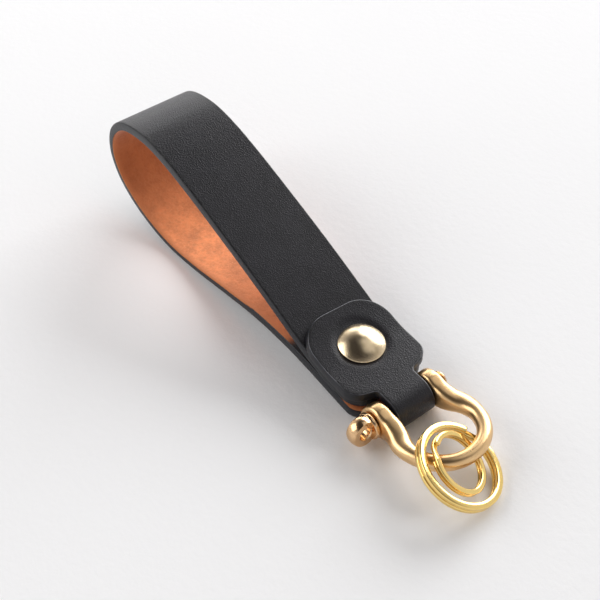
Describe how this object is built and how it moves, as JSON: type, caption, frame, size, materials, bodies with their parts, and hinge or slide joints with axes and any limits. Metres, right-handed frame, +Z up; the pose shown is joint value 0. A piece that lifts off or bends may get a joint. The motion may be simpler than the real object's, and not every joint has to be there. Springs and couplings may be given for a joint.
{
  "type": "wristlet keychain",
  "caption": "Leather wristlet keychain: a strap folded into a hand loop under a domed rivet, with a bow shackle through its nose and nested split rings for keys.",
  "frame": {"origin": "under the middle of the whole object, on the surface that it rests on", "axes": "+X runs along the strap from the hand loop to the split rings, +Y runs along the shackle's pin from its head to its threaded end, +Z is up"},
  "size_m": [0.1572, 0.0325, 0.0384],
  "materials": {
    "strap_leather": "fine-grained black leather outside, tan suede flesh side inside, burnished dark edges",
    "rivet_brass": "pale satin antique brass",
    "shackle_brass": "satin cast brass, worn a little brighter on its ridges",
    "ring_brass": "polished yellow brass wire"
  },
  "bodies": {
    "strap": {"leather_strap": "strap_leather", "rivet_post": "rivet_brass", "rivet_screw": "rivet_brass"},
    "shackle": {"shackle_bow": "shackle_brass"},
    "pin": {"shackle_pin": "shackle_brass"},
    "large_ring": {"large_split_ring": "ring_brass"},
    "small_ring": {"small_split_ring": "ring_brass"}
  },
  "joints": [
    {"name": "shackle_swing", "type": "hinge", "parent": "strap", "child": "shackle", "pos_m": [0.04295, 0.00245, 0.0052], "axis": [0, -1, 0], "range_deg": [-104, 95]},
    {"name": "pin_withdraw", "type": "slide", "parent": "shackle", "child": "pin", "axis": [0, -1, 0], "range_m": [0, 0.024]},
    {"name": "rings_travel", "type": "hinge", "parent": "shackle", "child": "large_ring", "pos_m": [0.05616, 0.00245, 0.00673], "axis": [-0.1149, 0, 0.9934], "range_deg": [-45, 62]},
    {"name": "small_ring_swing", "type": "hinge", "parent": "large_ring", "child": "small_ring", "pos_m": [0.06624, -0.00154, 0.00789], "axis": [0.3638, 0.9305, 0.042], "range_deg": [-50, 8]}
  ]
}
